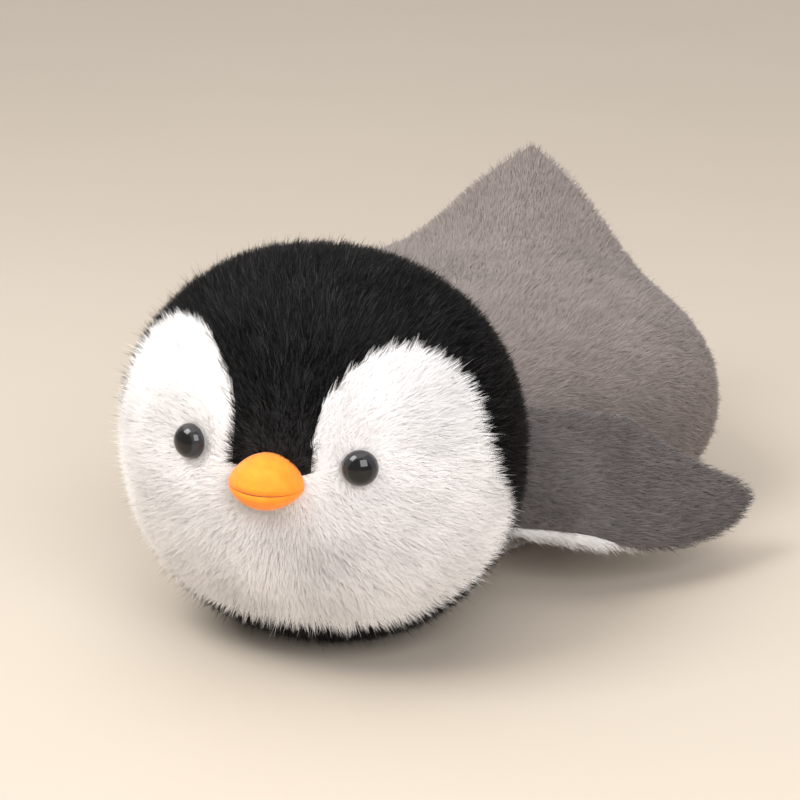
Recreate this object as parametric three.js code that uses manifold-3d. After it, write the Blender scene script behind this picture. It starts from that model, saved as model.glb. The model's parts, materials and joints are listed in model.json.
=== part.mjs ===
// A plush penguin lying on its belly: a big furry head, a cushion-shaped grey body that ends
// in an upturned tail corner, and two flippers sewn to the shoulders.
// Millimetres, +Z up. The penguin faces -Y and its left side is +X. The origin is on the
// surface it lies on, under the middle of its bounding box's base.
import * as THREE from 'three';
import { mergeVertices } from 'three/addons/utils/BufferGeometryUtils.js';
import Module from 'manifold-3d';

const wasm = await Module();
wasm.setup();

// ---------------------------------------------------------------- driving dimensions
const PLUSH = 3; // thickness of plush fabric: backing and the dense part of its pile
const GAP = 0.4; // play between sewn pieces, so that no two solids touch
const FILLING_PLAY = 1.8; // play between the fabric and the fibrefill, whose facets are coarser
const CUTTER = 500; // side of the blocks that cut panels apart, larger than the whole penguin

// The head is a ball a little flatter in front than behind. y = 0 is its middle.
const HEAD = { halfWidth: 70, front: 54, back: 58, halfHeight: 68.5, middleHeight: 68.6 };
const HEAD_ROUNDNESS = 2.12; // exponent of the super-ellipsoid: 2 is an ellipsoid
// The opening at the back of the head, inside the neck seam, and the firm plug of filling in it.
const NECK = { height: 46, holeRadius: 28, wadRadius: 17, wadFront: 36.5, wadBack: 49 };
const NECK_PLAY = 3.4; // lets the head roll on the neck without rubbing the shoulders
const HEAD_TURN = THREE.MathUtils.degToRad(4); // the head looks a little to its left
const HEAD_TILT = THREE.MathUtils.degToRad(2.7); // and leans a little to its left
const CROWN_HALF_WIDTH = 19; // half the strip that runs from the beak over the crown
const CROWN_START = 4; // how far above the middle of the head that strip starts
const FACE_SEAM_PLAY = 0.2; // degrees between the seam and each of the panels that meet there

// Safety eyes: a dome on a ribbed shank that a washer locks from inside the fabric.
const EYE = { radius: 6, height: 5.2, rim: 0.5, across: 29.5, above: 13 };
const SHANK = { radius: 1.7, length: 11, ribs: 3, ribDepth: 0.45, smooth: 3 };
const WASHER = { radius: 6.5, thickness: 1.4, hole: 2.05, collar: 1.6, collarTaper: 0.4, depth: 1.9 };

const BEAK = { halfWidth: 12.6, reach: 12.5, upper: 9.6, lower: 8.2, height: 73.7, slimness: 1.15 };
const BEAK_CLOTH = 0.9;

// Sections of the body from the neck to the tail tip: how far behind the middle of the head,
// half the width, height of the top, and height of the underside before it is pressed flat.
const BODY_SECTIONS = [
  { y: 20, half: 22, top: 72, under: 40 },
  { y: 52, half: 54, top: 84, under: 4 },
  { y: 78, half: 63, top: 90, under: -6 },
  { y: 104, half: 73, top: 92, under: -9 },
  { y: 132, half: 92, top: 92, under: -10 },
  { y: 165, half: 102, top: 92, under: -10 },
  { y: 204, half: 84, top: 95, under: 2 },
  { y: 229, half: 50, top: 107, under: 44 },
  { y: 242, half: 24, top: 118, under: 88 },
  { y: 250, half: 3, top: 125, under: 120 },
];
const BODY_ROUNDNESS = 2.3;
const INNER_LAYERS_END = 0.93; // the share of the body's length that its inner layers reach
// The plane where the belly panel meets the back panels.
const SIDE_SEAM = { y: 150, height: 17, rise: THREE.MathUtils.degToRad(6) };

// A flipper is a paddle. Its root is a roll about the shoulder seam, its own x runs out along
// the hinge's normal and its y runs back along the seam.
const FLIPPER = {
  seam: new THREE.Vector3(72.5, 72, 46),
  seamAngle: THREE.MathUtils.degToRad(-14), // the seam runs outwards as it runs back
  seamRise: THREE.MathUtils.degToRad(25), // and upwards
  droop: THREE.MathUtils.degToRad(45), // how far the paddle hangs from the seam's own plane
  span: 62,
  halfChord: 29,
  halfThickness: 8,
  bend: 34, // how far back the tip lies, as the paddle curves towards the tail
  tipRoundness: 2.6, // exponent of the tip's outline: 2 is a half ellipse
  thinning: 0.35, // the share of the thickness that is lost by the tip
};

// The face seam, as longitude and latitude in degrees on the head, from the beak over the
// left eye, round the cheek and to the chin. The right side mirrors it.
const FACE_SEAM = [
  [15, 9], [15.2, 18], [16.5, 28], [21, 36], [30, 42.5], [43, 46], [56, 43.5], [65, 36.5],
  [69, 27], [70, 16], [73, 6], [79, -3], [83, -12], [80, -22], [70, -33], [52, -43.5],
  [26, -49.5], [0, -51.5],
];

// ---------------------------------------------------------------- solids
const radians = THREE.MathUtils.degToRad;

function toSolid(geometry) {
  const bare = geometry.clone();
  bare.deleteAttribute('normal');
  bare.deleteAttribute('uv');
  const merged = mergeVertices(bare, 1e-4);
  const vertProperties = new Float32Array(merged.attributes.position.array);
  const triVerts = new Uint32Array(merged.index.array);
  const solid = new wasm.Manifold(new wasm.Mesh({ numProp: 3, vertProperties, triVerts }));
  if (solid.volume() > 0) return solid;
  turnFaces(triVerts); // a formula that mirrors the sphere turned its faces inwards
  return new wasm.Manifold(new wasm.Mesh({ numProp: 3, vertProperties, triVerts }));
}

function turnFaces(corners) {
  for (let i = 0; i < corners.length; i += 3) {
    [corners[i], corners[i + 1]] = [corners[i + 1], corners[i]];
  }
}

function toGeometry(solid) {
  const mesh = solid.getMesh();
  const geometry = new THREE.BufferGeometry();
  geometry.setAttribute('position', new THREE.BufferAttribute(mesh.vertProperties, 3));
  geometry.setIndex(new THREE.BufferAttribute(mesh.triVerts, 1));
  geometry.computeVertexNormals();
  return geometry;
}

// A sphere whose vertices are moved by shape(along, around): along runs from 0 at one pole to
// 1 at the other, around is the angle about the line between them.
function shapedSphere(segmentsAround, segmentsAlong, shape) {
  const geometry = new THREE.SphereGeometry(1, segmentsAround, segmentsAlong);
  const places = geometry.attributes.position;
  const uv = geometry.attributes.uv;
  for (let i = 0; i < places.count; i += 1) {
    const row = Math.floor(i / (segmentsAround + 1));
    const turn = uv.getX(i) - uv.getX(row * (segmentsAround + 1));
    const place = shape(row / segmentsAlong, 2 * Math.PI * turn);
    places.setXYZ(i, place.x, place.y, place.z);
  }
  return toSolid(geometry);
}

function headPoint(direction, inset) {
  const { halfWidth, front, back, halfHeight, middleHeight } = HEAD;
  const power = HEAD_ROUNDNESS;
  const sum = Math.abs(direction.x) ** power + Math.abs(direction.y) ** power
    + Math.abs(direction.z) ** power;
  const scale = sum ** (-1 / power);
  const depth = direction.y < 0 ? front : back;
  return new THREE.Vector3(
    direction.x * scale * (halfWidth - inset),
    direction.y * scale * (depth - inset),
    Math.max(middleHeight + direction.z * scale * (halfHeight - inset), Math.max(inset, 0)),
  );
}

function headBall(inset, segments) {
  return shapedSphere(segments, segments / 2, (along, around) => {
    const polar = Math.PI * along;
    const direction = new THREE.Vector3(
      Math.sin(polar) * Math.cos(around),
      Math.sin(polar) * Math.sin(around),
      Math.cos(polar),
    );
    return headPoint(direction, inset);
  });
}

const bodyWidths = new THREE.SplineCurve(BODY_SECTIONS.map((s) => new THREE.Vector2(s.y, s.half)));
const bodyTops = new THREE.SplineCurve(BODY_SECTIONS.map((s) => new THREE.Vector2(s.y, s.top)));
const bodyUnders = new THREE.SplineCurve(BODY_SECTIONS.map((s) => new THREE.Vector2(s.y, s.under)));

function bodyPoint(part, around, inset) {
  const half = Math.max(bodyWidths.getPoint(part).y - inset, 0.5);
  const top = bodyTops.getPoint(part).y - inset;
  const under = Math.min(bodyUnders.getPoint(part).y + inset, top - 1);
  const cos = Math.cos(around);
  const sin = Math.sin(around);
  const sum = Math.abs(cos) ** BODY_ROUNDNESS + Math.abs(sin) ** BODY_ROUNDNESS;
  const scale = sum ** (-1 / BODY_ROUNDNESS);
  return new THREE.Vector3(
    half * cos * scale,
    bodyWidths.getPoint(part).x,
    Math.max((top + under) / 2 + ((top - under) / 2) * sin * scale, inset),
  );
}

// The closed body cushion, inset from its outer face. The inner layers stop short of the tail
// tip, at the same section, so that their facets lie parallel.
function bodyCushion(inset, segmentsAround, segmentsAlong) {
  const last = inset > 0 ? INNER_LAYERS_END : 1;
  return shapedSphere(segmentsAround, segmentsAlong, (along, around) => {
    const part = along * last;
    const place = bodyPoint(part, -around, inset);
    if (along === 0 || along === 1) {
      const low = bodyPoint(part, -Math.PI / 2, inset);
      const high = bodyPoint(part, Math.PI / 2, inset);
      place.set(0, place.y, (low.z + high.z) / 2);
    }
    return place;
  });
}

function box(sizeX, sizeY, sizeZ, x, y, z, tiltX = 0) {
  const geometry = new THREE.BoxGeometry(sizeX, sizeY, sizeZ);
  geometry.rotateX(tiltX);
  geometry.translate(x, y, z);
  return toSolid(geometry);
}

function rod(radius, length, place, direction, segments = 24) {
  const geometry = new THREE.CylinderGeometry(radius, radius, length, segments);
  const turn = new THREE.Quaternion().setFromUnitVectors(new THREE.Vector3(0, 1, 0), direction);
  geometry.applyQuaternion(turn);
  geometry.translate(place.x, place.y, place.z);
  return toSolid(geometry);
}

// The closed outline of the face in degrees, drawn outside the seam by `wider` degrees.
function faceOutline(wider) {
  const left = FACE_SEAM.map(([longitude, latitude]) => new THREE.Vector2(longitude, latitude));
  const right = left.slice(0, -1).reverse().map((p) => new THREE.Vector2(-p.x, p.y));
  const curve = new THREE.SplineCurve([...left, ...right]);
  const points = curve.getPoints(left.length * 4);
  return points.map((point, i) => {
    const before = points[Math.max(i - 1, 0)];
    const after = points[Math.min(i + 1, points.length - 1)];
    const outward = new THREE.Vector2(before.y - after.y, after.x - before.x).normalize();
    const moved = point.clone().addScaledVector(outward, wider);
    // the outline closes under the beak, where outside is up
    if (before === point || after === point) moved.y += wider;
    return moved;
  });
}

// Everything seen from the middle of the head through the face outline: the outline is
// extruded, then its x and y become longitude and latitude and its depth the distance.
function faceCone(wider) {
  const near = 5;
  const far = 2500;
  const shape = new THREE.Shape(faceOutline(wider));
  const geometry = new THREE.ExtrudeGeometry(shape, { depth: 1, bevelEnabled: false });
  const places = geometry.attributes.position;
  for (let i = 0; i < places.count; i += 1) {
    const longitude = radians(places.getX(i));
    const latitude = radians(places.getY(i));
    const distance = places.getZ(i) > 0.5 ? far : near;
    places.setXYZ(
      i,
      distance * Math.cos(latitude) * Math.sin(longitude),
      -distance * Math.cos(latitude) * Math.cos(longitude),
      HEAD.middleHeight + distance * Math.sin(latitude),
    );
  }
  return toSolid(geometry);
}

// ---------------------------------------------------------------- materials and nodes
function fabric(colour) {
  return new THREE.MeshStandardMaterial({ color: colour, roughness: 0.95, metalness: 0 });
}

function plastic(colour, roughness) {
  return new THREE.MeshStandardMaterial({ color: colour, roughness, metalness: 0 });
}

const whitePlush = fabric(0xf0ebe9);
const blackPlush = fabric(0x17171a);
const greyPlush = fabric(0x8d8583);
const orangeCloth = fabric(0xf9962a);
const fibrefill = fabric(0xf7f5f0);
const eyePlastic = plastic(0x1c1c1f, 0.08);
const washerPlastic = plastic(0xe6e6e2, 0.5);

const penguin = new THREE.Group();

// The head is drawn upright over the origin, then turned and leaned about its middle.
const head = new THREE.Group();
const headPose = new THREE.Matrix4().makeTranslation(0, 0, HEAD.middleHeight)
  .multiply(new THREE.Matrix4().makeRotationZ(HEAD_TURN))
  .multiply(new THREE.Matrix4().makeRotationY(HEAD_TILT))
  .multiply(new THREE.Matrix4().makeTranslation(0, 0, -HEAD.middleHeight));
headPose.decompose(head.position, head.quaternion, head.scale);
penguin.add(head);

function add(name, solid, material, parent) {
  const mesh = new THREE.Mesh(toGeometry(solid), material);
  mesh.name = name;
  parent.add(mesh);
  return mesh;
}

// ---------------------------------------------------------------- head
const backwards = new THREE.Vector3(0, 1, 0);

function eyePlace(side) {
  const across = side * EYE.across;
  const power = HEAD_ROUNDNESS;
  const used = Math.abs(across / HEAD.halfWidth) ** power + (EYE.above / HEAD.halfHeight) ** power;
  const y = -HEAD.front * (1 - used) ** (1 / power);
  const outward = new THREE.Vector3(
    Math.sign(across) * Math.abs(across / HEAD.halfWidth) ** (power - 1) / HEAD.halfWidth,
    -(Math.abs(y / HEAD.front) ** (power - 1)) / HEAD.front,
    (EYE.above / HEAD.halfHeight) ** (power - 1) / HEAD.halfHeight,
  ).normalize();
  return { place: new THREE.Vector3(across, y, HEAD.middleHeight + EYE.above), outward };
}

// A safety eye, turned about its own axis, which points out of the face.
function eyeSolid() {
  const profile = [new THREE.Vector2(0, -SHANK.length)];
  const pitch = (SHANK.length - SHANK.smooth) / SHANK.ribs;
  for (let i = 0; i < SHANK.ribs; i += 1) {
    const height = -SHANK.length + i * pitch;
    profile.push(new THREE.Vector2(SHANK.radius - SHANK.ribDepth, height));
    profile.push(new THREE.Vector2(SHANK.radius, height + pitch * 0.8));
  }
  profile.push(new THREE.Vector2(SHANK.radius, 0));
  profile.push(new THREE.Vector2(EYE.radius - EYE.rim, 0));
  const steps = 5;
  for (let i = 0; i < steps; i += 1) {
    const angle = (Math.PI / 2) * (i / steps);
    const rise = (EYE.height - EYE.rim) * Math.sin(angle);
    profile.push(new THREE.Vector2(EYE.radius * Math.cos(angle), EYE.rim + rise));
  }
  profile.push(new THREE.Vector2(0, EYE.height));
  return new THREE.LatheGeometry(profile, 18);
}

// A flat ring with a tapered collar that grips the shank.
function washerSolid() {
  const { radius, thickness, hole, collar, collarTaper } = WASHER;
  const profile = [
    new THREE.Vector2(hole, 0),
    new THREE.Vector2(radius, 0),
    new THREE.Vector2(radius, thickness),
    new THREE.Vector2(hole + collar, thickness),
    new THREE.Vector2(hole + collar - collarTaper, thickness + collar),
    new THREE.Vector2(hole, thickness + collar),
    new THREE.Vector2(hole, 0),
  ];
  return new THREE.LatheGeometry(profile, 18);
}

function placedSolid(geometry, place, direction) {
  const turn = new THREE.Quaternion().setFromUnitVectors(new THREE.Vector3(0, 1, 0), direction);
  const placed = geometry.clone();
  placed.applyQuaternion(turn);
  placed.translate(place.x, place.y, place.z);
  return toSolid(placed);
}

// Half of the beak's wedge: a quarter of an ellipsoid, inset for the inner layers.
function beakSolid(inset) {
  const root = headPoint(new THREE.Vector3(0, -1, 0), 0).y;
  return shapedSphere(18, 10, (along, around) => {
    const polar = Math.PI * along;
    const x = Math.cos(polar);
    const forward = Math.sin(polar) * Math.cos(around);
    const up = Math.sin(polar) * Math.sin(around);
    const rise = up > 0 ? BEAK.upper : BEAK.lower;
    return new THREE.Vector3(
      x * (BEAK.halfWidth - inset),
      root - forward * (BEAK.reach - inset),
      BEAK.height + Math.sign(up) * Math.abs(up) ** BEAK.slimness * (rise - inset),
    );
  });
}

// A big block on one side of the middle plane: 1 is the penguin's left, -1 its right.
function sideBlock(side) {
  return box(CUTTER, CUTTER, CUTTER, side * (CUTTER / 2 + GAP / 2), 0, 0);
}

function makeEye(name, place, outward) {
  const eyeBase = place.clone().addScaledVector(outward, GAP);
  const washerBase = place.clone().addScaledVector(outward, -PLUSH - WASHER.depth);
  const inward = outward.clone().negate();
  add(`eye_${name}`, placedSolid(eyeSolid(), eyeBase, outward), eyePlastic, head);
  add(`eye_washer_${name}`, placedSolid(washerSolid(), washerBase, inward), washerPlastic, head);
}

// The room in the filling for one eye's shank and washer.
function eyeRoom({ place, outward }) {
  const washerRoom = 10;
  const middle = place.clone().addScaledVector(outward, -PLUSH - washerRoom / 2);
  return shankHole({ place, outward }).add(rod(WASHER.radius + GAP, washerRoom, middle, outward, 16));
}

function shankHole({ place, outward }) {
  return rod(SHANK.radius + GAP, 60, place, outward, 12);
}

function makeHead() {
  const neckMiddle = new THREE.Vector3(0, HEAD.back, NECK.height);
  const neckHole = rod(NECK.holeRadius, HEAD.back, neckMiddle, backwards);
  const fur = headBall(0, 32).subtract(headBall(PLUSH, 24)).subtract(neckHole);
  const face = fur.intersect(faceCone(-FACE_SEAM_PLAY));
  const hood = fur.subtract(faceCone(FACE_SEAM_PLAY));
  let filling = headBall(PLUSH + FILLING_PLAY, 20).subtract(neckHole);
  for (const side of [-1, 1]) {
    const name = side > 0 ? 'left' : 'right';
    const eye = eyePlace(side);
    add(`cheek_${name}`, face.intersect(sideBlock(side)).subtract(shankHole(eye)), whitePlush, head);
    makeEye(name, eye.place, eye.outward);
    filling = filling.subtract(eyeRoom(eye));
  }
  add('head_stuffing', filling, fibrefill, head);

  const middle = HEAD.middleHeight + CROWN_START + CUTTER / 2;
  const strip = box(2 * CROWN_HALF_WIDTH, CUTTER, CUTTER, 0, 0, middle);
  const widerStrip = box(2 * (CROWN_HALF_WIDTH + GAP), CUTTER, CUTTER, 0, 0, middle - GAP);
  const sides = hood.subtract(widerStrip);
  add('crown_panel', hood.intersect(strip), blackPlush, head);
  add('hood_left', sides.intersect(sideBlock(1)), blackPlush, head);
  add('hood_right', sides.intersect(sideBlock(-1)), blackPlush, head);
}

// The beak is sewn over the middle of the face, so its root follows the ball of the head.
function makeBeak() {
  const inFront = headBall(-GAP, 32);
  const cloth = beakSolid(0).subtract(beakSolid(BEAK_CLOTH)).subtract(inFront);
  const above = box(CUTTER, CUTTER, CUTTER, 0, 0, BEAK.height + GAP / 2 + CUTTER / 2);
  const below = box(CUTTER, CUTTER, CUTTER, 0, 0, BEAK.height - GAP / 2 - CUTTER / 2);
  add('beak_upper', cloth.intersect(above), orangeCloth, head);
  add('beak_lower', cloth.intersect(below), orangeCloth, head);
  add('beak_wadding', beakSolid(BEAK_CLOTH + GAP).subtract(inFront), fibrefill, head);
}

// ---------------------------------------------------------------- body
function makeBody() {
  const degrees = THREE.MathUtils.radToDeg;
  const headRoom = headBall(-NECK_PLAY, 24)
    .translate([0, 0, -HEAD.middleHeight])
    .rotate([0, degrees(HEAD_TILT), degrees(HEAD_TURN)])
    .translate([0, 0, HEAD.middleHeight]);
  const stuffing = bodyCushion(PLUSH + FILLING_PLAY, 20, 16);
  const skin = bodyCushion(0, 28, 22).subtract(bodyCushion(PLUSH, 20, 16)).subtract(headRoom);
  const aside = GAP / 2 + CUTTER / 2 / Math.cos(SIDE_SEAM.rise);
  const over = box(CUTTER, CUTTER, CUTTER, 0, SIDE_SEAM.y, SIDE_SEAM.height + aside, SIDE_SEAM.rise);
  const beneath = box(CUTTER, CUTTER, CUTTER, 0, SIDE_SEAM.y, SIDE_SEAM.height - aside, SIDE_SEAM.rise);
  const back = skin.intersect(over);
  add('back_left', back.intersect(sideBlock(1)), greyPlush, penguin);
  add('back_right', back.intersect(sideBlock(-1)), greyPlush, penguin);
  add('belly_panel', skin.intersect(beneath), whitePlush, penguin);
  add('body_stuffing', stuffing.subtract(headRoom), fibrefill, penguin);
}

// The plug of filling that stiffens the neck. The head rolls around it.
function makeNeck() {
  const { height, wadRadius, wadFront, wadBack } = NECK;
  const middle = new THREE.Vector3(0, (wadFront + wadBack) / 2, height);
  add('neck_wadding', rod(wadRadius, wadBack - wadFront, middle, backwards, 20), fibrefill, penguin);
}

// ---------------------------------------------------------------- flippers
// Half the thickness is constant over the root roll and runs out to nothing at the round tip.
function flipperSolid(inset) {
  const { span, halfChord, halfThickness, bend, tipRoundness, thinning } = FLIPPER;
  return shapedSphere(16, 14, (along, around) => {
    // `along` runs over the chord, from the leading edge to the trailing edge
    const chord = Math.cos(Math.PI * along);
    const bow = Math.sin(Math.PI * along);
    const outboard = Math.cos(around) * bow;
    const up = Math.sin(around) * bow;
    const tipRound = Math.sqrt(Math.max(0, 1 - Math.abs(chord) ** tipRoundness));
    const reach = outboard > 0 ? (span - inset) * tipRound : halfThickness - inset;
    const x = outboard > 0 ? (outboard / Math.max(bow, 1e-6)) * reach : outboard * reach;
    const thin = outboard > 0 ? 1 - thinning * (x / span) : 1;
    return new THREE.Vector3(
      x,
      -chord * (halfChord - inset) + bend * Math.max(x / span, 0) ** 2,
      up * (halfThickness - inset) * thin,
    );
  });
}

function makeFlipper(side) {
  const name = side > 0 ? 'left' : 'right';
  const holder = new THREE.Group();
  holder.position.set(side * FLIPPER.seam.x, FLIPPER.seam.y, FLIPPER.seam.z);
  const cloth = flipperSolid(0).subtract(flipperSolid(PLUSH));
  const above = box(CUTTER, CUTTER, CUTTER, 0, 0, CUTTER / 2 + GAP / 2);
  const below = box(CUTTER, CUTTER, CUTTER, 0, 0, -CUTTER / 2 - GAP / 2);
  const pieces = [
    [`flipper_${name}_top`, cloth.intersect(above), greyPlush],
    [`flipper_${name}_underside`, cloth.intersect(below), whitePlush],
    [`flipper_${name}_wadding`, flipperSolid(PLUSH + GAP), fibrefill],
  ];
  const pose = new THREE.Matrix4().makeRotationZ(FLIPPER.seamAngle)
    .multiply(new THREE.Matrix4().makeRotationX(FLIPPER.seamRise))
    .multiply(new THREE.Matrix4().makeRotationY(FLIPPER.droop));
  for (const [nodeName, solid, material] of pieces) {
    const geometry = toGeometry(solid);
    geometry.applyMatrix4(pose);
    if (side < 0) {
      geometry.scale(-1, 1, 1);
      turnFaces(geometry.index.array);
      geometry.computeVertexNormals();
    }
    const mesh = new THREE.Mesh(geometry, material);
    mesh.name = nodeName;
    holder.add(mesh);
  }
  penguin.add(holder);
}

makeHead();
makeBeak();
makeNeck();
makeBody();
makeFlipper(1);
makeFlipper(-1);

// Drawn about the middle of the head, then moved so that the box's middle is at y = 0.
const drawn = new THREE.Box3().setFromObject(penguin, true);
penguin.position.y = -(drawn.min.y + drawn.max.y) / 2;

export default penguin;
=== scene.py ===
"""A plush penguin lying on its belly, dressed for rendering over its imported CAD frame.

Metres, +Z up, the beak points along -Y and the penguin's own left is +X. The plush panels are
built from the same formulas as the CAD, a little inside its outer faces, and carry real pile.
"""

import json
import math

import bmesh
import bpy
import numpy as np
from mathutils import Matrix, Vector
from mathutils.kdtree import KDTree


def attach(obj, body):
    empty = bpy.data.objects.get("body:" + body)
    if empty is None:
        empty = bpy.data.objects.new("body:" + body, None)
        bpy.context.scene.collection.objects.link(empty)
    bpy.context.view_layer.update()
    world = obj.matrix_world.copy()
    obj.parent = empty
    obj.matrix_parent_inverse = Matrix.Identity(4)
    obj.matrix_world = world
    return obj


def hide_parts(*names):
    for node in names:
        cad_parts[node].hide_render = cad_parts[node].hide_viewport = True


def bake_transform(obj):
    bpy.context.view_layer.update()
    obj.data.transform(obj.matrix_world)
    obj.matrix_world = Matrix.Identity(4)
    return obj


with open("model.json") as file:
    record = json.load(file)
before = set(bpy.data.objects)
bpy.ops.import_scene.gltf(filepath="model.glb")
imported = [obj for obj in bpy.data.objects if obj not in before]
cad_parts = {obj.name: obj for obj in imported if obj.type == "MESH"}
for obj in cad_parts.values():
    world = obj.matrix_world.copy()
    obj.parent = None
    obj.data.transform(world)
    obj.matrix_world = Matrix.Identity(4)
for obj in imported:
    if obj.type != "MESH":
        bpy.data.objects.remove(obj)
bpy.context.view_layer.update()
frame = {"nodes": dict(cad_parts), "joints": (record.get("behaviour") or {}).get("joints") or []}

MM = 0.001
SIDES = ((1, "left"), (-1, "right"))  # the penguin's own, and which way along X they lie
joints = {joint["name"]: joint for joint in frame["joints"]}

# ---------------------------------------------------------------- sizes, as in the CAD
HEAD_MIDDLE = np.array(joints["head_turn"]["pos_m"])
HEAD_TURN = math.radians(4)
HEAD_TILT = math.radians(2.7)
HEAD_POSE = np.array(Matrix.Translation(HEAD_MIDDLE) @ Matrix.Rotation(HEAD_TURN, 4, "Z")
                     @ Matrix.Rotation(HEAD_TILT, 4, "Y"))
HEAD_HALF_WIDTH = 70 * MM
HEAD_FRONT = 54 * MM
HEAD_BACK = 58 * MM
HEAD_HALF_HEIGHT = 68.5 * MM
HEAD_ROUNDNESS = 2.12
NECK_HEIGHT = 46 * MM - HEAD_MIDDLE[2]  # of the neck opening's middle, from the middle of the head
NECK_HOLE = 28 * MM
NECK_PLAY = 3.4 * MM
CROWN_HALF_WIDTH = 19 * MM
CROWN_START = 4 * MM
FACE_SEAM = [
    (15, 9), (15.2, 18), (16.5, 28), (21, 36), (30, 42.5), (43, 46), (56, 43.5), (65, 36.5),
    (69, 27), (70, 16), (73, 6), (79, -3), (83, -12), (80, -22), (70, -33), (52, -43.5),
    (26, -49.5), (0, -51.5),
]  # longitude and latitude in degrees, from the beak over the left eye to the chin

EYE_ACROSS = 29.5 * MM
EYE_ABOVE = 13 * MM
EYE_RADIUS = 6 * MM
EYE_DOME = 5.2 * MM
EYE_SUNK = 1.2 * MM  # how far the pile's dent lets the eye sink into the face
EYE_EDGE = 0.5 * MM  # height of the dome's widest ring
EYE_ROUNDING = 0.4 * MM  # of the edge under it
SHANK_LENGTH = 11 * MM
SHANK_RADIUS = 1.7 * MM
SHANK_RIBS = 4
RIB_PITCH = 2.7 * MM
RIB_HEIGHT = 2.1 * MM
RIB_WAIST = 1.25 * MM  # radius at the foot of a rib
BEAK_HALF_WIDTH = 12.6 * MM
BEAK_REACH = 12.5 * MM
BEAK_UPPER = 9.6 * MM
BEAK_LOWER = 8.2 * MM
BEAK_ABOVE = 5.1 * MM  # the height of the beak's seam above the middle of the head
BEAK_CLOTH = 0.8 * MM
BEAK_TURN = math.radians(112)  # how far each half runs round from the seam into the fur
BEAK_SLIMNESS = (1.4, 1.1)  # exponents of its height across and round the beak
BEAK_SEAM_DEPTH = 0.75 * MM
BEAK_SEAM_WIDTH = 0.9 * MM
BEAK_SEAM_PLAY = 0.12 * MM

BODY_SECTIONS = np.array([
    (20, 22, 72, 40), (52, 54, 84, 4), (78, 63, 90, -6), (104, 73, 92, -9), (132, 92, 92, -10),
    (165, 102, 92, -10), (204, 84, 95, 2), (229, 50, 107, 44), (242, 24, 118, 88),
    (250, 3, 125, 120),
]) * MM  # behind the middle of the head, half width, top, underside
BODY_ROUNDNESS = 2.3
BODY_OPENING = 0.02  # the share of the body's length where its skin starts, hidden in the neck
TAIL_START = 185 * MM  # from here back the sewn corner is drawn in
TAIL_TIP = 250 * MM
TAIL_PINCH = 0.11
TAIL_SWAY = 6 * MM
SIDE_SEAM_Y = 150 * MM
SIDE_SEAM_HEIGHT = 17 * MM
SIDE_SEAM_RISE = math.tan(math.radians(6))

FLIPPER_SEAM_ANGLE = math.radians(-14)
FLIPPER_SEAM_RISE = math.radians(25)
FLIPPER_DROOP = math.radians(45)
FLIPPER_SPAN = 62 * MM
FLIPPER_HALF_CHORD = 29 * MM
FLIPPER_HALF_THICKNESS = 8 * MM
FLIPPER_BEND = 34 * MM
FLIPPER_TIP_ROUNDNESS = 2.6
FLIPPER_THINNING = 0.35
WHITE_EDGE_DROP = 1 * MM  # how far under the paddle's middle its two plushes meet
WHITE_EDGE_RISE = 4.5 * MM  # how much higher that is half way along the front edge
# The sleeve of plush from the shoulder to the flipper: the ends of its start's long axis, from
# the floor under the middle of the head, and of its end's, in the flipper's own axes.
SHOULDER_LOW = np.array([38, 46, 25]) * MM
SHOULDER_HIGH = np.array([49, 56, 69]) * MM
SLEEVE_FRONT = np.array([25, -22.5, 0]) * MM
SLEEVE_BACK = np.array([4, 27, 1]) * MM
SLEEVE_END_OUT = np.array(Vector(SLEEVE_BACK - SLEEVE_FRONT).xy.orthogonal().normalized()) * -1
SLEEVE_OVERLAP = 3 * MM  # how far the flipper's plush runs on inside the sleeve
SLEEVE_HALF_THICKNESS = (8.0 * MM, 6.0 * MM)
SLEEVE_ARCH = 5 * MM  # how much higher its upper side bulges half way

# Dents in the face: how deep, and how wide.
EYE_DENT = 1.6 * MM
EYE_DENT_SIZE = 9 * MM
CHIN_DENT = 2.2 * MM
CHIN_DENT_SIZE = (9 * MM, 5 * MM)
CHIN_DENT_BELOW = 11 * MM  # the beak's seam

# ---------------------------------------------------------------- plush and pile
PANEL_THICKNESS = 1.2 * MM
FLIPPER_PANEL_THICKNESS = 1 * MM
FACE_INSET = 2.2 * MM  # how far the backing lies inside the CAD's outer face
BODY_INSET = 1.2 * MM
FLIPPER_INSET = 1.4 * MM
FLOOR_CLEARANCE = 0.2 * MM
HEAD_PILE = 7.2 * MM  # lengths of the strands
BODY_PILE = 5.2 * MM
FLIPPER_PILE = 6.2 * MM
HEAD_LEAN = 0.95  # radians from the surface's normal
BODY_LEAN = 1.22
FLIPPER_LEAN = 1.15
SHORT_PILE_END = 9 * MM  # the head's pile is half as long this near the beak,
FULL_PILE_START = 31 * MM  # and full length this far from it
BARE_ROUND_EYE = 5.9 * MM
BARE_ROUND_BEAK = np.array([11.2, 12, 7.8]) * MM
EYE_COMBING = 9.5 * MM  # how far from an eye its pile is parted round it
HEAD_STRANDS = dict(width=0.16 * MM, levels=(0, 0.5), clump=8, tidy=0.55, tumble=0.22)
BODY_STRANDS = dict(width=0.22 * MM, levels=(0, 0.55), clump=7, tidy=0.35, tumble=0.1, shade=0.7)
FLIPPER_STRANDS = dict(per_mm2=3.5, width=0.18 * MM, levels=(0, 0.5), clump=7, tidy=0.4,
                       tumble=0.14, shade=0.7)
LENGTH_SPREAD = (0.72, 1.12)
SWEEPS = [(0.16, 38 * MM), (0.2, 9 * MM)]  # size and wavelength of the waves in the combing
STRAY_SHARE = 0.02  # of the strands that stand up out of the clumps
MOST_LEAN = 1.66  # radians from the normal
ROOT_DEPTH = 0.3 * MM
TAPER = 0.55


# ---------------------------------------------------------------- vectors
def unit(vectors):
    return vectors / np.maximum(np.linalg.norm(vectors, axis=-1, keepdims=True), 1e-12)


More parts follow.
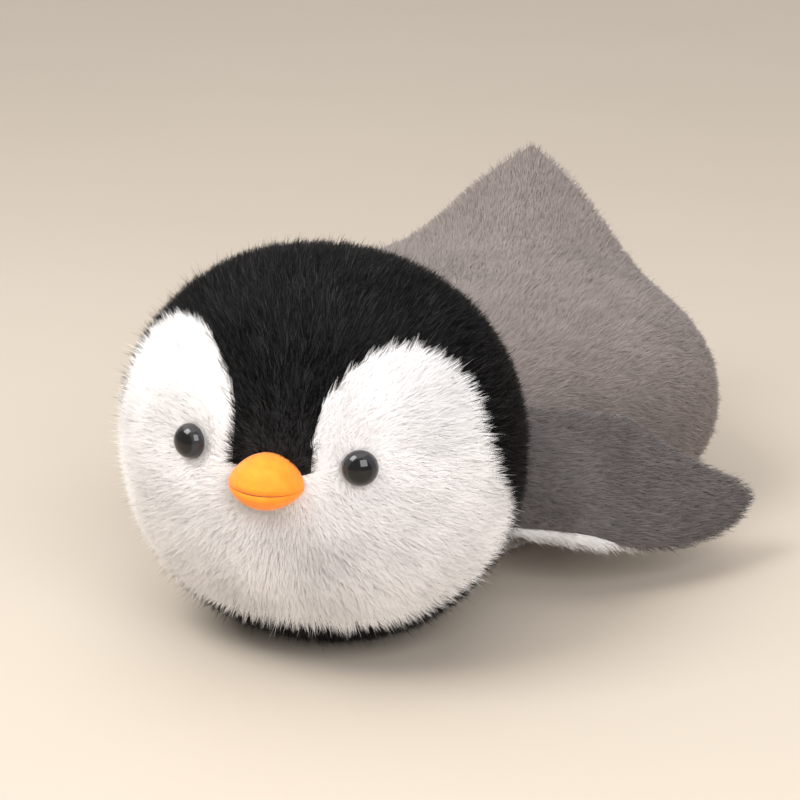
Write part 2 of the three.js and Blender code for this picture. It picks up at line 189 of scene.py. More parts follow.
def waves(points, wavelength, seed):
    """A smooth random vector field, about one unit long, that changes over the wavelength."""
    count = 7
    rng = np.random.default_rng(seed)
    total = np.zeros_like(points)
    for _ in range(count):
        along = unit(rng.normal(size=3)) * 2 * math.pi / (wavelength * rng.uniform(0.7, 1.5))
        sway = unit(rng.normal(size=3))
        total += np.sin(points @ along + rng.uniform(0, 2 * math.pi))[:, None] * sway
    return total / math.sqrt(count / 2)


def posed(local, pose):
    """Points in a pose's own axes, in the row frame."""
    return local @ pose[:3, :3].T + pose[:3, 3]


def unposed(points, pose):
    """Points of the row frame, in the pose's own axes. A pose only moves, turns and mirrors."""
    return (points - pose[:3, 3]) @ pose[:3, :3]


def tangent(vectors, normals):
    """The part of each vector that lies in the surface."""
    return vectors - (vectors * normals).sum(1, keepdims=True) * normals


# ---------------------------------------------------------------- surfaces
class Surface:
    """A triangulated skin: points and faces, with its normals and the combing of its pile."""

    def __init__(self, points, faces):
        a, b, c = (points[faces[:, k]] for k in range(3))
        inside_out = (a * np.cross(b, c)).sum() < 0
        self.points = points
        self.faces = faces[:, ::-1] if inside_out else faces
        self.normals = self.vertex_normals()
        self.comb = np.zeros_like(points)
        self.length = np.ones(len(points))
        self.lean = np.ones(len(points))

    def vertex_normals(self):
        a, b, c = (self.points[self.faces[:, k]] for k in range(3))
        across = np.cross(b - a, c - a)
        total = np.zeros_like(self.points)
        for k in range(3):
            np.add.at(total, self.faces[:, k], across)
        return unit(total)


def mesh_object(name, points, faces, material):
    mesh = bpy.data.meshes.new(name)
    mesh.from_pydata([tuple(p) for p in points], [], [tuple(int(i) for i in f) for f in faces])
    mesh.validate()
    mesh.polygons.foreach_set("use_smooth", [True] * len(mesh.polygons))
    mesh.materials.append(material)
    piece = bpy.data.objects.new(name, mesh)
    bpy.context.scene.collection.objects.link(piece)
    return piece


def apply_modifiers(piece):
    """Bakes the piece's modifiers into its mesh."""
    bpy.context.view_layer.update()
    graph = bpy.context.evaluated_depsgraph_get()
    mesh = bpy.data.meshes.new_from_object(piece.evaluated_get(graph))
    piece.modifiers.clear()
    piece.data = mesh


def thicken(piece, thickness):
    """Makes cloth of a skin, closed at its edges and thick inwards."""
    solidify = piece.modifiers.new("thickness", "SOLIDIFY")
    solidify.thickness = thickness
    solidify.offset = -1
    apply_modifiers(piece)


def panel(name, surface, chosen, thickness, material):
    """One sewn panel of backing cloth: the chosen faces, made thick."""
    faces = surface.faces[chosen]
    used, packed = np.unique(faces, return_inverse=True)
    piece = mesh_object(name, surface.points[used], packed.reshape(-1, 3), material)
    thicken(piece, thickness)
    return piece


def snap(directions, edges, field):
    """Moves the vertices beside the field's zero line onto it, so panels end in a clean line."""
    moved = directions.copy()
    values = field(directions)
    first, second = edges[:, 0], edges[:, 1]
    crossing = values[first] * values[second] < 0
    first, second = first[crossing], second[crossing]
    share = values[first] / (values[first] - values[second])
    nearer_first = share < 0.5
    target = directions[first] + (directions[second] - directions[first]) * share[:, None]
    moved[first[nearer_first]] = target[nearer_first]
    moved[second[~nearer_first]] = target[~nearer_first]
    return moved


def ring_faces(rows, columns):
    """Triangles of a tube of rows of points, each row a closed ring."""
    faces = []
    for i in range(rows - 1):
        for j in range(columns):
            a, b = i * columns + j, i * columns + (j + 1) % columns
            faces += [(a, b, b + columns), (a, b + columns, a + columns)]
    return np.array(faces)


def ring_grid(first, last, rows, columns):
    """For every point of a tube: how far along it lies, and its angle round the tube."""
    along = np.repeat(np.linspace(first, last, rows), columns)
    around = np.tile(np.linspace(0, 2 * math.pi, columns, endpoint=False), rows)
    return along, around


def edges_of(faces):
    pairs = np.concatenate([faces[:, [0, 1]], faces[:, [1, 2]], faces[:, [2, 0]]])
    return np.unique(np.sort(pairs, axis=1), axis=0)


# ---------------------------------------------------------------- the head's shape
def to_row(local):
    """From the head's own axes, about its middle, to the row frame."""
    return posed(local, HEAD_POSE)


def to_head(points):
    return unposed(points, HEAD_POSE)


def head_radii(local):
    """The half width, depth and half height of the ball, on each point's side of its middle."""
    depth = np.where(local[:, 1] < 0, HEAD_FRONT, HEAD_BACK)
    return np.stack([np.full(len(depth), HEAD_HALF_WIDTH), depth,
                     np.full(len(depth), HEAD_HALF_HEIGHT)], axis=1)


def head_ball(directions, inset):
    """Points of the head's ball in its own axes."""
    scale = (np.abs(directions) ** HEAD_ROUNDNESS).sum(1) ** (-1 / HEAD_ROUNDNESS)
    local = directions * scale[:, None] * (head_radii(directions) - inset)
    local[:, 2] = np.maximum(local[:, 2], max(inset, 0) - HEAD_MIDDLE[2])
    return local


def spline(points, count):
    """A smooth curve through the points, as that many points evenly along it."""
    return curve_at(points, np.linspace(0, len(points) - 1, count))


def curve_at(points, at):
    """A uniform Catmull-Rom curve through the points, where point k is at k."""
    index = np.minimum(at.astype(int), len(points) - 2)
    t = (at - index)[:, None]
    last = len(points) - 1
    p0, p1 = points[np.maximum(index - 1, 0)], points[index]
    p2, p3 = points[index + 1], points[np.minimum(index + 2, last)]
    return hermite(p1, p2, (p2 - p0) / 2, (p3 - p1) / 2, t)


def hermite(start, end, start_slope, end_slope, t):
    return ((2 * t**3 - 3 * t**2 + 1) * start + (t**3 - 2 * t**2 + t) * start_slope
            + (-2 * t**3 + 3 * t**2) * end + (t**3 - t**2) * end_slope)


def face_outline():
    left = np.array(FACE_SEAM, float)
    right = left[:-1][::-1] * (-1, 1)
    return spline(np.concatenate([left, right]), 120)


OUTLINE = face_outline()


def outside_face(local):
    """Degrees from the face seam, positive on the hood and negative on the cheeks."""
    longitude = np.degrees(np.arctan2(local[:, 0], -local[:, 1]))
    latitude = np.degrees(np.arcsin(local[:, 2] / np.linalg.norm(local, axis=1)))
    at = np.stack([longitude, latitude], axis=1)
    nearest = np.full(len(at), 1e9)
    inside = np.zeros(len(at), bool)
    for start, end in zip(OUTLINE, np.roll(OUTLINE, -1, axis=0)):
        side = end - start
        share = np.clip(((at - start) @ side) / (side @ side), 0, 1)
        nearest = np.minimum(nearest, np.linalg.norm(at - start - share[:, None] * side, axis=1))
        spans = (start[1] > at[:, 1]) != (end[1] > at[:, 1])
        if abs(side[1]) > 1e-9:
            inside ^= spans & (at[:, 0] < side[0] * (at[:, 1] - start[1]) / side[1] + start[0])
    return np.where(inside, -nearest, nearest)


def eye_place(side):
    """The middle of an eye on the head's ball, and the way out of the face, in the head's axes."""
    power = HEAD_ROUNDNESS
    across = side * EYE_ACROSS
    used = abs(across / HEAD_HALF_WIDTH) ** power + (EYE_ABOVE / HEAD_HALF_HEIGHT) ** power
    forward = -HEAD_FRONT * (1 - used) ** (1 / power)
    outward = np.array([
        side * abs(across / HEAD_HALF_WIDTH) ** (power - 1) / HEAD_HALF_WIDTH,
        -abs(forward / HEAD_FRONT) ** (power - 1) / HEAD_FRONT,
        (EYE_ABOVE / HEAD_HALF_HEIGHT) ** (power - 1) / HEAD_HALF_HEIGHT,
    ])
    return np.array([across, forward, EYE_ABOVE]), unit(outward)


BEAK_PLACE = np.array([0, -HEAD_FRONT, BEAK_ABOVE])


def dents(local, normals):
    """Pulls the face in at the eyes and under the beak, where thread draws it to the filling."""
    depth = np.zeros(len(local))
    for side in (-1, 1):
        place, _ = eye_place(side)
        apart = np.linalg.norm(local - place, axis=1)
        depth += EYE_DENT * np.exp(-(apart / EYE_DENT_SIZE) ** 2)
    from_chin = (local - BEAK_PLACE)[:, [0, 2]] + (0, CHIN_DENT_BELOW)
    depth += CHIN_DENT * np.exp(-((from_chin / CHIN_DENT_SIZE) ** 2).sum(1))
    return local - normals * depth[:, None]


def head_surface():
    """The head's skin, with its pile combed away from the beak."""
    ball = bmesh.new()
    bmesh.ops.create_icosphere(ball, subdivisions=6, radius=1)
    directions = np.array([v.co for v in ball.verts])
    faces = np.array([[v.index for v in f.verts] for f in ball.faces])
    ball.free()
    edges = edges_of(faces)

    def on_ball(field):
        return lambda d: field(head_ball(unit(d), FACE_INSET))

    for field in (outside_face, neck_hole, middle_plane, crown_side, crown_front):
        directions = unit(snap(directions, edges, on_ball(field)))
    local = head_ball(directions, FACE_INSET)
    local = dents(local, Surface(local, faces).normals)
    return Surface(to_row(local), faces)


def neck_hole(local):
    away = np.hypot(local[:, 0], local[:, 2] - NECK_HEIGHT) - NECK_HOLE
    return np.where(local[:, 1] > 0, away, 1)


def middle_plane(local):
    return local[:, 0]


def crown_side(local):
    return np.where(local[:, 2] > CROWN_START, np.abs(local[:, 0]) - CROWN_HALF_WIDTH, 1)


def crown_front(local):
    return np.where(np.abs(local[:, 0]) < CROWN_HALF_WIDTH, local[:, 2] - CROWN_START, 1)


# ---------------------------------------------------------------- growing the pile
def scatter(surface, chosen, per_mm2, rng, keep):
    """Random roots on the chosen faces, as a function that reads a vertex value at each root."""
    faces = surface.faces[chosen]
    a, b, c = (surface.points[faces[:, k]] for k in range(3))
    areas = np.linalg.norm(np.cross(b - a, c - a), axis=1) / 2
    count = int(areas.sum() / MM**2 * per_mm2)
    picked = faces[rng.choice(len(faces), count, p=areas / areas.sum())]
    first, second = rng.random(count), rng.random(count)
    over = first + second > 1
    first[over], second[over] = 1 - first[over], 1 - second[over]
    shares = np.stack([1 - first - second, first, second], axis=1)[..., None]
    if keep is not None:
        kept = keep((surface.points[picked] * shares).sum(1))
        picked, shares = picked[kept], shares[kept]

    def at_roots(values):
        values = values if values.ndim > 1 else values[:, None]
        return (values[picked] * shares).sum(1)

    return at_roots


def to_clump(tips, clump, rng):
    """From each tip to the tip in the middle of its clump, of about that many strands."""
    centres = rng.choice(len(tips), max(len(tips) // clump, 1), replace=False)
    tree = KDTree(len(centres))
    for i, centre in enumerate(centres):
        tree.insert(tips[centre], i)
    tree.balance()
    nearest = np.array([tree.find(tip)[1] for tip in tips])
    return tips[centres[nearest]] - tips


def ribbon_faces(levels):
    """Triangles of one strand: a pair of points at each level, and one at the tip."""
    pattern = []
    for k in range(0, 2 * (levels - 1), 2):
        pattern += [(k, k + 1, k + 3), (k, k + 3, k + 2)]
    last = 2 * (levels - 1)
    return np.array(pattern + [(last, last + 1, last + 2)])


def grow(name, surface, chosen, per_mm2, width, levels, seed, material, clump, tidy, tumble,
         shade, keep=None):
    """The pile of the chosen faces: one flat tapered strand for every hair that shows.

    Strands start near the surface's normal, bend over along its combing, and lean together in
    clumps. levels are the heights along a strand that have a pair of points; the tip has one.
    shade is how far a strand is lit like the surface it stands on, from 0 to 1."""
    rng = np.random.default_rng(seed)
    at_roots = scatter(surface, chosen, per_mm2, rng, keep)
    roots = at_roots(surface.points)
    count = len(roots)
    normals = unit(at_roots(surface.normals))
    length = at_roots(surface.length)[:, 0] * rng.uniform(*LENGTH_SPREAD, count)
    lean = at_roots(surface.lean)[:, 0]

    sweep = sum(size * waves(roots, wavelength, seed + k)
                for k, (size, wavelength) in enumerate(SWEEPS, 1))
    sway = tangent(sweep + rng.normal(size=(count, 3)) * tumble, normals)
    flow = unit(at_roots(surface.comb) + sway)
    wild = rng.random(count) < STRAY_SHARE
    length = np.where(wild, length * 1.25, length)
    lean = lean * np.clip(rng.normal(1, 0.14, count), 0.6, 1.3) * np.where(wild, 0.6, 1)
    root_lean = lean * 0.55
    tip_lean = np.minimum(lean * 1.3, MOST_LEAN)
    start = normals * np.cos(root_lean)[:, None] + flow * np.sin(root_lean)[:, None]
    end = normals * np.cos(tip_lean)[:, None] + flow * np.sin(tip_lean)[:, None]

    def along(t):
        return length[:, None] * (start * (t - t * t / 2) + end * (t * t / 2))

    together = np.where(wild[:, None], 0, to_clump(roots + along(1.0), clump, rng)) * tidy
    side = unit(np.cross(start, normals) + np.cross(start, flow) * 1e-3
                + rng.normal(size=(count, 3)) * 0.02)
    roll = rng.normal(0, 0.6, count)[:, None]
    side = unit(side * np.cos(roll) + np.cross(start, side) * np.sin(roll))
    widths = width * rng.uniform(0.75, 1.25, count)[:, None]

    base = roots - normals * ROOT_DEPTH
    rows = []
    heights = []
    for t in levels:
        middle = base + along(t) + together * t * t
        half = side * widths / 2 * (1 - TAPER * t)
        rows += [middle - half, middle + half]
        heights += [t, t]
    rows.append(base + along(1.0) + together)
    heights.append(1.0)
    points = np.stack(rows, axis=1)
    points[..., 2] = np.maximum(points[..., 2], FLOOR_CLEARANCE)

    flat = unit(np.cross(side, end))
    flat *= np.where((flat * normals).sum(1) < 0, -1, 1)[:, None]
    shading = unit(normals * shade + flat * (1 - shade))
    return strands(name, points, ribbon_faces(len(levels)), shading, np.array(heights),
                   rng.random(count), material)


def strands(name, points, pattern, shading, heights, tones, material):
    """One mesh of all the strands, with each point's height and each strand's tone stored on it."""
    count, per_strand, _ = points.shape
    faces = (np.arange(count)[:, None, None] * per_strand + pattern[None]).reshape(-1, 3)
    mesh = bpy.data.meshes.new(name)
    mesh.vertices.add(count * per_strand)
    mesh.vertices.foreach_set("co", points.reshape(-1))
    mesh.loops.add(faces.size)
    mesh.loops.foreach_set("vertex_index", faces.reshape(-1).astype(np.int32))
    mesh.polygons.add(len(faces))
    mesh.polygons.foreach_set("loop_start", np.arange(0, faces.size, 3, dtype=np.int32))
    mesh.update(calc_edges=True)
    mesh.polygons.foreach_set("use_smooth", np.ones(len(faces), bool))
    mesh.normals_split_custom_set_from_vertices(np.repeat(shading, per_strand, axis=0).tolist())
    along = mesh.attributes.new("along", "FLOAT", "POINT")
    along.data.foreach_set("value", np.tile(heights, count).astype(np.float32))
    tone = mesh.attributes.new("tone", "FLOAT", "POINT")
    tone.data.foreach_set("value", np.repeat(tones, per_strand).astype(np.float32))
    mesh.materials.append(material)
    piece = bpy.data.objects.new(name, mesh)
    bpy.context.scene.collection.objects.link(piece)
    return piece


# ---------------------------------------------------------------- materials
class Shader:
    """A node material, with helpers that add nodes to it and feed its main shader."""

    def __init__(self, name, roughness):
        self.material = bpy.data.materials.new(name)
        self.material.use_nodes = True
        self.nodes = self.material.node_tree.nodes
        self.links = self.material.node_tree.links
        self.inputs = self.nodes["Principled BSDF"].inputs
        self.set("Roughness", roughness)

    def set(self, name, value):
        self.inputs[name].default_value = value

    def feed(self, name, socket):
        self.links.new(socket, self.inputs[name])

    def mixed(self, factor, first, second, how="MIX"):
        """Two colours mixed. Each value is a number, a colour or a socket."""
        mix = self.nodes.new("ShaderNodeMix")
        mix.data_type = "RGBA"
        mix.blend_type = how
        for socket, value in ((mix.inputs["Factor"], factor), (mix.inputs[6], first),
                              (mix.inputs[7], second)):
            if isinstance(value, bpy.types.NodeSocket):
                self.links.new(value, socket)
            elif isinstance(value, (int, float)):
                socket.default_value = value
            else:
                socket.default_value = (*value, 1)
        return mix.outputs[2]

    def ranged(self, value, low, high, to_low, to_high):
        node = self.nodes.new("ShaderNodeMapRange")
        self.links.new(value, node.inputs["Value"])
        for name, number in (("From Min", low), ("From Max", high), ("To Min", to_low),
                             ("To Max", to_high)):
            node.inputs[name].default_value = number
        return node.outputs["Result"]

    def shaded(self, colour, value, low, high, darkest, brightest):
        """The colour made darker or brighter by a value that runs from low to high."""
        grey = self.nodes.new("ShaderNodeCombineColor")
        level = self.ranged(value, low, high, darkest, brightest)
        for name in ("Red", "Green", "Blue"):
            self.links.new(level, grey.inputs[name])
        return self.mixed(1.0, colour, grey.outputs["Color"], "MULTIPLY")

    def noise(self, size, detail=3):
        """Noise whose features are about that size."""
        place = self.nodes.new("ShaderNodeTexCoord")
        node = self.nodes.new("ShaderNodeTexNoise")
        node.inputs["Scale"].default_value = 1 / size
        node.inputs["Detail"].default_value = detail
        self.links.new(place.outputs["Object"], node.inputs["Vector"])
        return node.outputs["Fac"]

    def attribute(self, name):
        node = self.nodes.new("ShaderNodeAttribute")
        node.attribute_name = name
        return node.outputs["Fac"]

    def bump(self, height, distance, strength):
        bump = self.nodes.new("ShaderNodeBump")
        bump.inputs["Distance"].default_value = distance
        bump.inputs["Strength"].default_value = strength
        self.links.new(height, bump.inputs["Height"])
        self.feed("Normal", bump.outputs["Normal"])


def pile_material(name, root, tip, bright, roughness, sheen, specular, plain=0.3):
    """Fibres: darker towards the backing, a painted shade among the roots, each a little different,
    in soft larger patches.

    plain is the share of the strands without the bright colour. The bright strands are lighter
    fibres, and on the black pile they are painted glints."""
    made = Shader(name, roughness)
    made.set("Sheen Weight", sheen)
    made.set("Sheen Roughness", 0.45)
    made.set("Specular IOR Level", specular)
    tone = made.attribute("tone")
    # The roots are darker than the tips: painted shade down among the strands.
    height = made.ranged(made.attribute("along"), 0.0, 0.8, 0.0, 1.0)
    colour = made.mixed(made.ranged(tone, plain, 1.0, 0.0, 1.0), made.mixed(height, root, tip),
                        bright)
    made.feed("Base Color", made.shaded(colour, made.noise(22 * MM), 0.35, 0.65, 0.86, 1.06))
    made.feed("Roughness", made.ranged(tone, 0.0, 1.0, roughness - 0.08, roughness + 0.08))
    made.bump(made.noise(0.5 * MM), 0.1 * MM, 0.2)
    return made.material


def fibre_material(name, dark, light, size, detail, smoothest, sheen, bump, strength):
    """Plain fibres of one colour: the loops of a knitted backing, or curling fibrefill."""
    made = Shader(name, smoothest)
    made.set("Sheen Weight", sheen)
    fibres = made.noise(size, detail)
    made.feed("Base Color", made.mixed(fibres, dark, light))
    made.feed("Roughness", made.ranged(fibres, 0, 1, smoothest, 1))
    made.bump(fibres, bump, strength)
    return made.material


def backing_material(name, colour):
    dark = tuple(0.8 * c for c in colour)
    return fibre_material(name, dark, colour, 0.9 * MM, 1, 0.8, 0.2, 0.3 * MM, 0.5)


def cloth_material(name, deep, light):
    """Smooth short-napped cloth: a fine weave under a soft nap, worn paler in patches."""
    made = Shader(name, 0.75)
    made.set("Sheen Weight", 0.25)
    made.set("Sheen Roughness", 0.4)
    made.set("Specular IOR Level", 0.3)
    patches = made.ranged(made.noise(4 * MM), 0.3, 0.7, 0, 1)
    fibres = made.noise(0.25 * MM, 2)
    colour = made.mixed(patches, deep, light)
    made.feed("Base Color", made.shaded(colour, fibres, 0.3, 0.7, 0.9, 1.05))
    made.feed("Roughness", made.ranged(fibres, 0.2, 0.8, 0.65, 0.85))
    made.bump(fibres, 0.08 * MM, 0.5)
    return made.material


def eye_material():
    """Polished plastic: a black pupil under a clear coat, in a dark grey ring."""
    made = Shader("eye_plastic", 0.12)
    made.set("Specular IOR Level", 0.15)
    made.set("Coat Weight", 0.8)
    made.set("Coat IOR", 1.42)
    made.set("Coat Roughness", 0.02)
    place = made.nodes.new("ShaderNodeTexCoord")
    flat = made.nodes.new("ShaderNodeVectorMath")
    flat.operation = "MULTIPLY"
    flat.inputs[1].default_value = (1, 1, 0)
    made.links.new(place.outputs["Object"], flat.inputs[0])
    from_axis = made.nodes.new("ShaderNodeVectorMath")
    from_axis.operation = "LENGTH"
    made.links.new(flat.outputs[0], from_axis.inputs[0])
    ring = made.ranged(from_axis.outputs["Value"], 0.6 * EYE_RADIUS, 0.7 * EYE_RADIUS, 0, 1)
    made.feed("Base Color", made.mixed(ring, (0.003, 0.003, 0.0035), (0.024, 0.024, 0.027)))
    made.feed("Roughness", made.ranged(made.noise(1.5 * MM), 0.3, 0.8, 0.06, 0.16))
    made.bump(made.noise(2.5 * MM, 1), 0.02 * MM, 0.15)
    return made.material


def washer_material():
    made = Shader("washer_plastic", 0.5)
    made.feed("Base Color", made.mixed(made.noise(4 * MM), (0.75, 0.75, 0.72), (0.84, 0.84, 0.81)))
    made.bump(made.noise(0.8 * MM), 0.1 * MM, 0.2)
    return made.material


def floor_material():
    made = Shader("floor", 0.6)
    made.feed("Base Color", made.mixed(made.noise(0.3, 4), (0.47, 0.41, 0.345), (0.51, 0.45, 0.38)))
    return made.material


WHITE_TIP = (0.95, 0.93, 0.93)
BLACK_TIP = (0.0025, 0.0024, 0.0026)
GREY_TIP = (0.248, 0.207, 0.192)

white_pile = pile_material("white_plush_pile", (0.90, 0.86, 0.85), WHITE_TIP, (0.98, 0.97, 0.97),
                           0.7, 0.3, 0.2)
# The black pile's bright colour, on about a fifth of its strands, is painted glints.
black_pile = pile_material("black_plush_pile", (0.001, 0.001, 0.001), BLACK_TIP,
                           (0.05, 0.048, 0.05), 0.38, 0.0, 0.05, plain=0.78)
grey_pile = pile_material("grey_plush_pile", (0.16, 0.135, 0.125), GREY_TIP, (0.315, 0.268, 0.25),
                          0.6, 0.15, 0.3)
# The grey pile darkened for the flippers and sleeves: painted shade on the same grey plush.
shaded_grey_pile = pile_material("flipper_plush_pile", (0.04, 0.034, 0.034), (0.115, 0.1, 0.098),
                             (0.185, 0.163, 0.16), 0.55, 0.12, 0.3)
white_backing = backing_material("white_plush_backing", (0.9, 0.87, 0.86))
black_backing = backing_material("black_plush_backing", (0.008, 0.008, 0.009))
grey_backing = backing_material("grey_plush_backing", (0.2, 0.17, 0.16))
orange_cloth = cloth_material("orange_cloth", (0.95, 0.25, 0.015), (1.0, 0.31, 0.022))
eye_plastic = eye_material()
fibrefill = fibre_material("fibrefill", (0.78, 0.77, 0.74), (0.93, 0.92, 0.9), 1.2 * MM, 6, 0.85,
                           0.4, 0.6 * MM, 0.8)
washer_plastic = washer_material()

# A plush's material slot, and its backing and pile.
WHITE_PLUSH = ("white_plush", white_backing, white_pile)
BLACK_PLUSH = ("black_plush", black_backing, black_pile)
GREY_PLUSH = ("grey_plush", grey_backing, grey_pile)
# The same grey plush as the body, its pile darkened as painted shade.
FLIPPER_PLUSH = ("grey_plush", grey_backing, shaded_grey_pile)


# ---------------------------------------------------------------- the head
def finish_piece(piece, body, replaced=()):
    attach(piece, body)
    if replaced:
        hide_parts(*replaced)


def dress(node, surface, chosen, plush, body, fill, thickness, **strand_choices):
    """A sewn panel of plush: backing cloth in place of the CAD's node, and the pile on it."""
    slot, backing, pile = plush
    skin = panel(f"{node}_backing", surface, chosen, thickness, backing)
    finish_piece(skin, body, [node])
    hair = grow(f"{node}_pile", surface, chosen, material=pile, **strand_choices)
    finish_piece(hair, body)


def comb_head(surface):
    """Pile grows away from the beak and the eyes, short beside them and longest at the seam."""
    beak = to_row(BEAK_PLACE)
    comb = unit(tangent(surface.points - beak, surface.normals))
    from_beak = np.linalg.norm(surface.points - beak, axis=1)
    grown = np.clip((from_beak - SHORT_PILE_END) / (FULL_PILE_START - SHORT_PILE_END), 0, 1)
    length = HEAD_PILE * (0.5 + 0.5 * grown)
    for side in (-1, 1):
        place = to_row(eye_place(side)[0])
        apart = surface.points - place
        close = np.exp(-((apart / EYE_COMBING) ** 2).sum(1))[:, None]
        comb = unit(comb + 2.5 * close * unit(tangent(apart, surface.normals)))
        length = length * (1 - 0.5 * close[:, 0])
    from_seam = outside_face(to_head(surface.points))
    length *= 1 + 0.22 * np.exp(-(from_seam / 6) ** 2)
    surface.comb = comb
    surface.length = length
    surface.lean = np.full(len(length), HEAD_LEAN)


def clear_of_features(roots):
    """Roots that aren't under an eye or the beak."""
    local = to_head(roots)
    clear = np.ones(len(local), bool)
    for side in (-1, 1):
        place, _ = eye_place(side)
        clear &= np.linalg.norm(local - place, axis=1) > BARE_ROUND_EYE
    return clear & (np.linalg.norm((local - BEAK_PLACE) / BARE_ROUND_BEAK, axis=1) > 1)


def make_head():
    """The five plush panels of the head, cut from one skin along its seams."""
    surface = head_surface()
    comb_head(surface)
    middles = to_head(surface.points[surface.faces].mean(1))
    on_hood = outside_face(middles) > 0
    open_neck = neck_hole(middles) < 0
    left = middles[:, 0] > 0
    crown = on_hood & (np.abs(middles[:, 0]) < CROWN_HALF_WIDTH) & (middles[:, 2] > CROWN_START)
    hood = on_hood & ~crown & ~open_neck
    panels = [
        ("cheek_left", ~on_hood & left, WHITE_PLUSH, 6.0, 0.88),
        ("cheek_right", ~on_hood & ~left, WHITE_PLUSH, 6.0, 0.88),
        ("crown_panel", crown, BLACK_PLUSH, 4.0, 0.4),
        ("hood_left", hood & left, BLACK_PLUSH, 4.0, 0.4),
        ("hood_right", hood & ~left, BLACK_PLUSH, 4.0, 0.4),
    ]
    for k, (node, chosen, plush, density, shade) in enumerate(panels):
        dress(node, surface, chosen, plush, "head", 0.8, PANEL_THICKNESS, per_mm2=density,
              seed=100 + 10 * k, keep=clear_of_features, shade=shade, **HEAD_STRANDS)


def lathe(profile, around):
    """Points and faces of a profile of (radius, height) pairs turned about Z, closed at its ends."""
    points = []
    faces = []
    for i in range(around):
        angle = 2 * math.pi * i / around
        points += [(r * math.cos(angle), r * math.sin(angle), h) for r, h in profile]
    size = len(profile)
    for i in range(around):
        j = (i + 1) % around
        for k in range(size - 1):
            faces.append((i * size + k, j * size + k, j * size + k + 1, i * size + k + 1))
    faces.append([i * size for i in reversed(range(around))])
    faces.append([i * size + size - 1 for i in range(around)])
    return points, faces


def make_eye(side, name):
    """A domed safety eye with a rounded rim and a ribbed shank."""
    profile = []
    for i in range(SHANK_RIBS):
        height = RIB_PITCH * i - SHANK_LENGTH
        profile += [(RIB_WAIST, height), (SHANK_RADIUS, height + RIB_HEIGHT)]
    profile.append((SHANK_RADIUS, -0.1 * MM))
    profile.append((EYE_RADIUS - 1.5 * EYE_ROUNDING, 0))
    for angle in np.linspace(-math.pi / 2, 0, 5):
        profile.append((EYE_RADIUS - EYE_ROUNDING + EYE_ROUNDING * math.cos(angle),
                        EYE_EDGE + EYE_ROUNDING * math.sin(angle)))
    for angle in np.linspace(0, math.pi / 2, 17)[1:-1]:
        profile.append((EYE_RADIUS * math.cos(angle),
                        EYE_EDGE + (EYE_DOME - EYE_EDGE) * math.sin(angle)))
    points, faces = lathe(profile, 56)
    piece = mesh_object(f"{name}_dome", points, faces, eye_plastic)
    place, outward = eye_place(side)
    facing = Vector(outward).to_track_quat("Z", "Y").to_matrix().to_4x4()
    sunk = Matrix.Translation(place - outward * EYE_SUNK)
    piece.matrix_world = Matrix(HEAD_POSE.tolist()) @ sunk @ facing
    finish_piece(piece, "head", [name])


def dress_washer(node):
    """Gives the washer its plastic. It stays the CAD's own piece."""
    frame["nodes"][node].data.materials.clear()
    frame["nodes"][node].data.materials.append(washer_plastic)


def beak_half(sign, rise):
    """One half of the beak's cloth, from the seam to its root in the fur, its edge rolled in."""
    across, round_ = 48, 22
    polar = np.linspace(0.02, math.pi - 0.02, across)
    angle = np.linspace(0, BEAK_TURN, round_)
    grid = np.array([(p, a) for p in polar for a in angle])
    x = np.cos(grid[:, 0])
    forward = np.sin(grid[:, 0]) * np.cos(grid[:, 1])
    slim_across, slim_round = BEAK_SLIMNESS
    height = np.sin(grid[:, 0]) ** slim_across * np.sin(grid[:, 1]) ** slim_round * rise
    pinch = np.exp(-(height / BEAK_SEAM_WIDTH) ** 2) * BEAK_SEAM_DEPTH
    local = np.stack([
        x * BEAK_HALF_WIDTH,
        -HEAD_FRONT - forward * (BEAK_REACH - pinch),
        BEAK_ABOVE + sign * (height + BEAK_SEAM_PLAY),
    ], axis=1)
    faces = []
    for i in range(across - 1):
        for j in range(round_ - 1):
            k = i * round_ + j
            quad = (k, k + 1, k + round_ + 1, k + round_)
            faces.append(quad if sign > 0 else quad[::-1])
    return local, faces


def make_beak():
    """Two shells of cloth that meet in a pinched seam along the mouth."""
    for name, sign, rise in (("beak_upper", 1, BEAK_UPPER), ("beak_lower", -1, BEAK_LOWER)):
        local, faces = beak_half(sign, rise)
        piece = mesh_object(f"{name}_cloth", to_row(local), faces, orange_cloth)
        thicken(piece, BEAK_CLOTH)
        finish_piece(piece, "head", [name])


# ---------------------------------------------------------------- the body
def section(part):
    """The body's section at a share of its length: y, half width, top and underside."""
    return curve_at(BODY_SECTIONS, np.clip(part, 0, 1) * (len(BODY_SECTIONS) - 1))


def body_points(part, around, inset):
    y, half, top, under = section(part).T
    half = np.maximum(half - inset, 0.5 * MM)
    top = top - inset
    under = np.minimum(under + inset, top - 1 * MM)
    cos, sin = np.cos(around), np.sin(around)
    scale = (np.abs(cos) ** BODY_ROUNDNESS + np.abs(sin) ** BODY_ROUNDNESS) ** (-1 / BODY_ROUNDNESS)
    return draw_in_tail(np.stack([
        half * cos * scale,
        y + HEAD_MIDDLE[1],
        np.maximum((top + under) / 2 + (top - under) / 2 * sin * scale, inset),
    ], axis=1))


def draw_in_tail(points):
    """Draws the sewn tail corner in and a little to the right, inside the CAD's solid."""
    behind = points[:, 1] - HEAD_MIDDLE[1]
    share = np.clip((behind - TAIL_START) / (TAIL_TIP - TAIL_START), 0, 1)
    narrowing = 1 - TAIL_PINCH * np.sin(math.pi * share) ** 2
    return np.stack([
        points[:, 0] * narrowing - TAIL_SWAY * share**2,
        points[:, 1],
        points[:, 2],
    ], axis=1)


